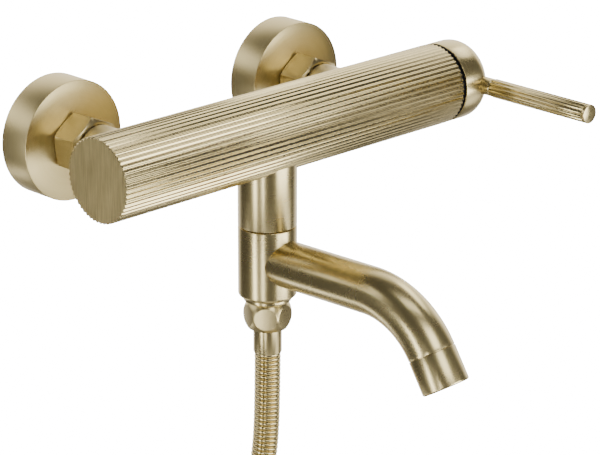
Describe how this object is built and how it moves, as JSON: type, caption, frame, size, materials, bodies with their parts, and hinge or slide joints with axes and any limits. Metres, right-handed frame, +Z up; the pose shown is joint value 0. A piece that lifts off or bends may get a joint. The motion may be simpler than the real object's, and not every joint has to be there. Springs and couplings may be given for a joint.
{
  "type": "wall mounted bath mixer",
  "caption": "Wall mounted bath mixer with a reeded horizontal body, side lever, swivelling bath spout and a metal shower hose hanging below.",
  "frame": {"origin": "point on the finished wall midway between the two water inlets", "axes": "+X to the right along the body towards the lever, +Y into the wall, +Z up"},
  "size_m": [0.2506, 0.2119, 0.4071],
  "materials": {
    "brushed_gold": "satin, fine straight brushing",
    "brushed_gold_nut": "satin flats with bright chamfer edges",
    "hose_strip": "satin interlocked metal strip over a rubber tube",
    "raw_brass": "machined",
    "steel": "machined",
    "black_plastic": "matte",
    "white_plastic": "moulded",
    "ceramic": "lapped alumina",
    "rubber": "matte",
    "fibre": "pressed fibre"
  },
  "bodies": {
    "mixer": {"rosette_left": "brushed_gold", "eccentric_union_left": "raw_brass", "inlet_washer_left": "fibre", "tail_nipple_left": "raw_brass", "union_nut_left": "brushed_gold_nut", "inlet_boss_left": "brushed_gold", "rosette_right": "brushed_gold", "eccentric_union_right": "raw_brass", "inlet_washer_right": "fibre", "tail_nipple_right": "raw_brass", "union_nut_right": "brushed_gold_nut", "inlet_boss_right": "brushed_gold", "body_shell": "brushed_gold", "waterway_core": "raw_brass", "cartridge_base": "white_plastic", "fixed_ceramic_disc": "ceramic", "cartridge_housing": "white_plastic", "cartridge_nut": "raw_brass", "cover_ring": "black_plastic", "outlet_stem": "brushed_gold", "swivel_post": "raw_brass", "swivel_o_ring_upper": "rubber", "swivel_o_ring_lower": "rubber", "barrel_retaining_ring": "brushed_gold", "hose_nut": "brushed_gold_nut", "hose_washer": "rubber", "hose_ferrule": "brushed_gold", "hose_tube": "hose_strip", "hose_coil": "hose_strip", "coil_tie": "black_plastic", "far_ferrule": "brushed_gold", "far_nut": "brushed_gold_nut"},
    "temperature_rotor": {"cartridge_rotor": "white_plastic", "pivot_pin": "steel"},
    "lever": {"hub_cap": "brushed_gold", "grub_screw": "steel", "lever_spindle": "steel", "lever_neck": "brushed_gold", "lever_rod": "brushed_gold", "lever_end_disc": "brushed_gold"},
    "mixing_disc": {"moving_ceramic_disc": "ceramic", "disc_carrier": "black_plastic"},
    "spout": {"spout_barrel": "brushed_gold", "diverter_sleeve": "white_plastic", "spout_spigot": "raw_brass", "spout_tube": "brushed_gold", "aerator_sleeve": "brushed_gold", "jet_former": "white_plastic", "aerator_seal": "rubber"}
  },
  "joints": [
    {"name": "temperature", "type": "hinge", "parent": "mixer", "child": "temperature_rotor", "pos_m": [0.1352, -0.0725, 0], "axis": [1, 0, 0], "range_deg": [-45, 45]},
    {"name": "flow", "type": "hinge", "parent": "temperature_rotor", "child": "lever", "pos_m": [0.1352, -0.0725, 0], "axis": [0, 0, 1], "range_deg": [0, 20]},
    {"name": "disc_slide", "type": "slide", "parent": "temperature_rotor", "child": "mixing_disc", "axis": [0, -1, 0], "range_m": [0, 0.00325]},
    {"name": "spout_swivel", "type": "hinge", "parent": "mixer", "child": "spout", "pos_m": [0.0015, -0.0725, 0], "axis": [0, 0, 1], "range_deg": [-90, 90]}
  ],
  "couplings": [
    {"joint": "disc_slide", "follows": "flow", "m_per_rad": 0.0093096}
  ]
}
